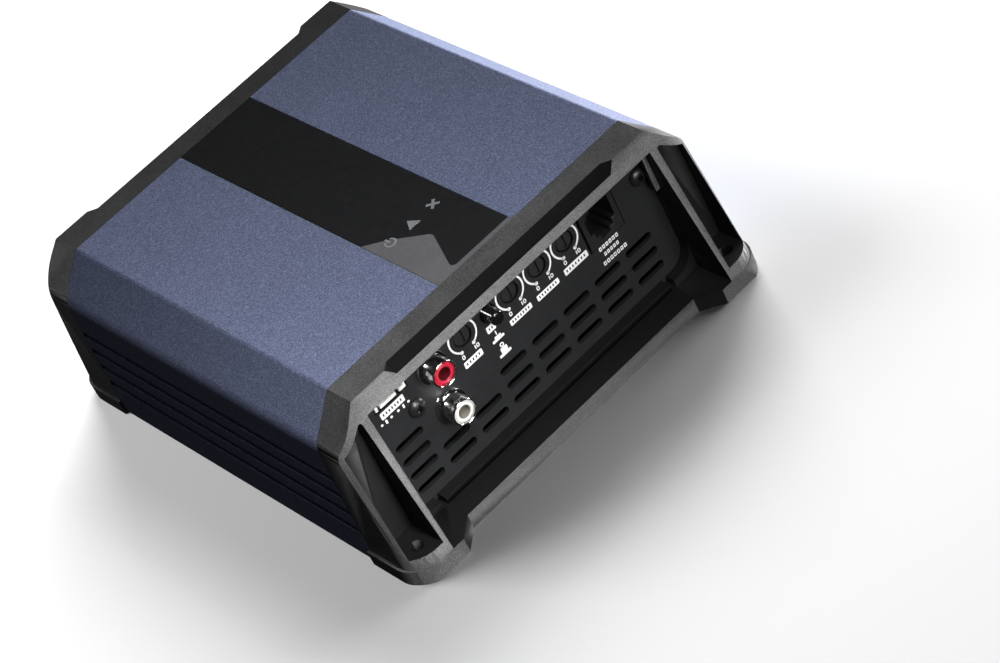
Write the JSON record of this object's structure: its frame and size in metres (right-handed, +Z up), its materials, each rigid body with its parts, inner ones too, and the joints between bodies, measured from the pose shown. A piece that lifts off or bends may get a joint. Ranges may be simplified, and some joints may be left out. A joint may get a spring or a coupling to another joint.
{
  "type": "car amplifier",
  "caption": "Car audio amplifier with an extruded heat sink between moulded end caps, recessed controls, signal sockets, vents, and power and speaker terminals at the rear.",
  "frame": {"origin": "centre of the footprint, on the surface under the feet", "axes": "+X across the amplifier, to the right when facing the control panel; -Y out of the control panel; +Z up"},
  "size_m": [0.148, 0.178, 0.061],
  "materials": {
    "sink_blue": "anodised slate blue, fine sparkle",
    "cap_plastic": "fine texture",
    "panel_black": "satin powder coat",
    "cover_black": "satin",
    "label_black": "fine texture",
    "label_grey": "fine texture",
    "icon_window": "translucent, satin",
    "clear_plastic": "clear",
    "led_body": "diffused",
    "board_green": "solder mask",
    "sheet_amber": "film",
    "brass_plain": "turned",
    "steel_zinc": "zinc plated",
    "steel_black": "black oxide",
    "socket_black": "smooth",
    "nickel": "nickel plated",
    "socket_red": "smooth",
    "socket_white": "smooth",
    "contact_gold": "gold flashed",
    "knob_black": "smooth",
    "button_black": "smooth",
    "header_white": "smooth",
    "tin": "tin plated",
    "fuse_orange": "translucent",
    "package_black": "moulded",
    "pad_grey": "soft",
    "aluminium_plain": "mill finish",
    "ferrite": "coated",
    "powder_core": "coated",
    "copper_wire": "enamelled copper",
    "sleeve_blue": "shrink sleeve"
  },
  "bodies": {
    "chassis": {"heat_sink": "sink_blue", "bottom_cover": "cover_black", "front_cap": "cap_plastic", "rear_cap": "cap_plastic", "front_panel": "panel_black", "rear_panel": "panel_black", "top_label": "label_black", "label_accent": "label_grey", "indicator_windows": "icon_window", "light_pipes": "clear_plastic", "indicator_leds": "led_body", "main_board": "board_green", "insulating_sheet": "sheet_amber", "board_pillars": "brass_plain", "board_screws": "steel_zinc", "panel_brackets": "steel_zinc", "front_panel_screws": "steel_black", "rear_panel_screws": "steel_black", "cover_screws": "steel_black", "rca_block": "socket_black", "rca_shells": "nickel", "rca_insulator_red": "socket_red", "rca_insulator_white": "socket_white", "rca_contacts": "contact_gold", "gain_pot": "socket_black", "lowpass_pot": "socket_black", "subsonic_pot": "socket_black", "bass_pot": "socket_black", "switch_body": "socket_black", "remote_jack": "socket_black", "remote_jack_contacts": "contact_gold", "input_header": "header_white", "input_header_pins": "tin", "power_terminal_block": "socket_black", "power_terminal_plates": "tin", "power_terminal_screws": "nickel", "speaker_terminal_block": "socket_black", "speaker_terminal_plates": "tin", "speaker_terminal_screws": "nickel", "fuse_holder": "socket_black", "fuse_left": "fuse_orange", "fuse_right": "fuse_orange", "power_transistors": "package_black", "thermal_pads": "pad_grey", "clamp_bars": "aluminium_plain", "clamp_screws": "steel_zinc", "transformer_core": "ferrite", "transformer_winding": "copper_wire", "output_choke_core": "powder_core", "output_choke_winding": "copper_wire", "input_capacitors": "sleeve_blue", "rail_capacitors": "sleeve_blue", "driver_board": "board_green"},
    "gain_rotor": {"gain_knob": "knob_black"},
    "lowpass_rotor": {"lowpass_knob": "knob_black"},
    "subsonic_rotor": {"subsonic_knob": "knob_black"},
    "bass_rotor": {"bass_knob": "knob_black"},
    "push_button": {"power_button": "button_black"}
  },
  "joints": [
    {"name": "gain_turn", "type": "hinge", "parent": "chassis", "child": "gain_rotor", "pos_m": [-0.0181, -0.065, 0.04535], "axis": [0, 1, 0], "range_deg": [-150, 150]},
    {"name": "lowpass_turn", "type": "hinge", "parent": "chassis", "child": "lowpass_rotor", "pos_m": [0.0014, -0.065, 0.04535], "axis": [0, 1, 0], "range_deg": [-150, 150]},
    {"name": "subsonic_turn", "type": "hinge", "parent": "chassis", "child": "subsonic_rotor", "pos_m": [0.0129, -0.065, 0.04535], "axis": [0, 1, 0], "range_deg": [-150, 150]},
    {"name": "bass_turn", "type": "hinge", "parent": "chassis", "child": "bass_rotor", "pos_m": [0.0244, -0.065, 0.04535], "axis": [0, 1, 0], "range_deg": [-150, 150]},
    {"name": "button_press", "type": "slide", "parent": "chassis", "child": "push_button", "axis": [0, 1, 0], "range_m": [0, 0.0025], "stiffness_N_per_m": 400}
  ]
}
